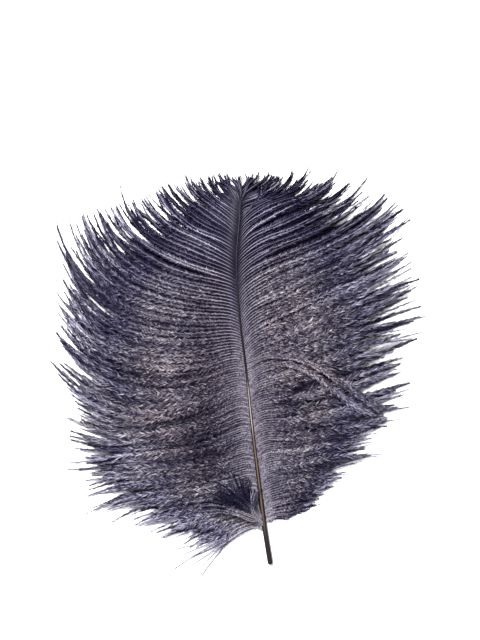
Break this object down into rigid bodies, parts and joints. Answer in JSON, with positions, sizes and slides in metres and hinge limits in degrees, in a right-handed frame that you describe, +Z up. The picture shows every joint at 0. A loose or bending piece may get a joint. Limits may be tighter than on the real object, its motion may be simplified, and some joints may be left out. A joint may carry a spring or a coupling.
{
  "type": "ostrich feather",
  "caption": "Short, broad ostrich plume dyed black, lying flat: a bare quill and tapering shaft with soft barbs that flow out on both sides to a ragged, pointed edge.",
  "frame": {"origin": "middle of the feather's outline, on the surface that it lies on", "axes": "+Z up from the surface, +Y from the quill's end to the feather's head, +X to the vane's narrower side"},
  "size_m": [0.1854, 0.2048, 0.0142],
  "materials": {
    "barbs": "matte",
    "shaft": "satin"
  },
  "bodies": {
    "root": {"feather": "barbs"}
  },
  "joints": []
}
